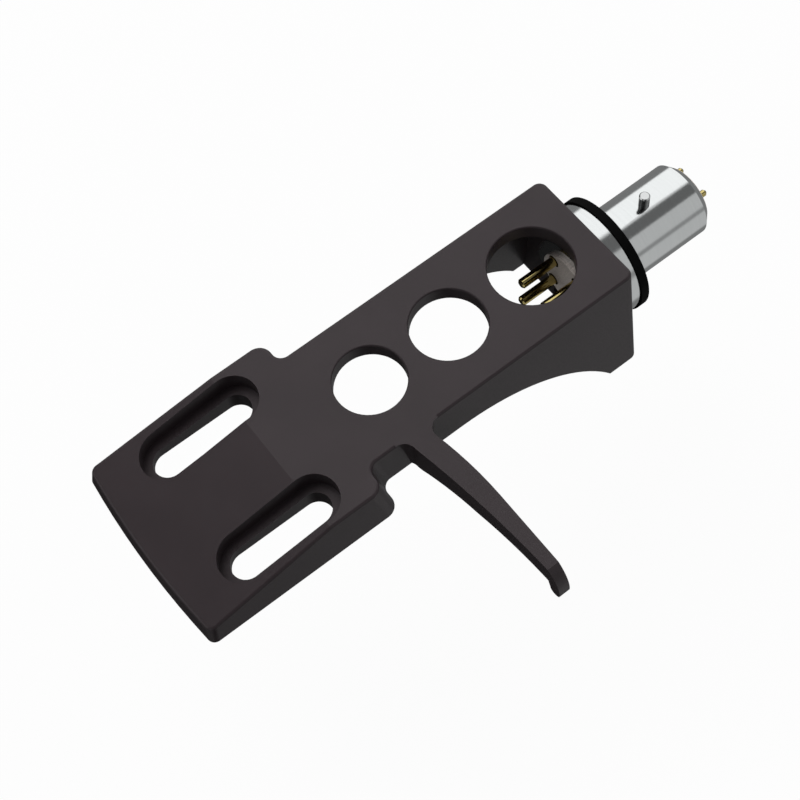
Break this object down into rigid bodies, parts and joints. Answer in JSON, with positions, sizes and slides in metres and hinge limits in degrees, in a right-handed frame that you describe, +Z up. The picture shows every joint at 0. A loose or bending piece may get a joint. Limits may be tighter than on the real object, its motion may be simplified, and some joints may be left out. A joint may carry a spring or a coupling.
{
  "type": "turntable headshell",
  "caption": "Turntable headshell: a black cast body with sunk cartridge slots, round lightening holes, a finger lift and a bayonet plug.",
  "frame": {"origin": "on the axis of the bayonet plug, on the back face of the rubber ring", "axes": "+Y back along the plug into the tonearm, +Z up from the record, +X towards the finger lift"},
  "size_m": [0.0364, 0.066, 0.0139],
  "materials": {
    "black_casting": "satin",
    "bright_plating": "polished",
    "rubber": "matte",
    "insulator": "satin",
    "gold_plating": "polished",
    "dark_steel": "satin"
  },
  "bodies": {
    "root": {"shell_body": "black_casting", "connector_barrel": "bright_plating", "rubber_gasket": "rubber", "guide_pin": "bright_plating", "contact_carrier": "insulator", "contact_left_upper": "gold_plating", "contact_left_lower": "gold_plating", "contact_right_upper": "gold_plating", "contact_right_lower": "gold_plating", "lock_screw": "dark_steel"}
  },
  "joints": []
}
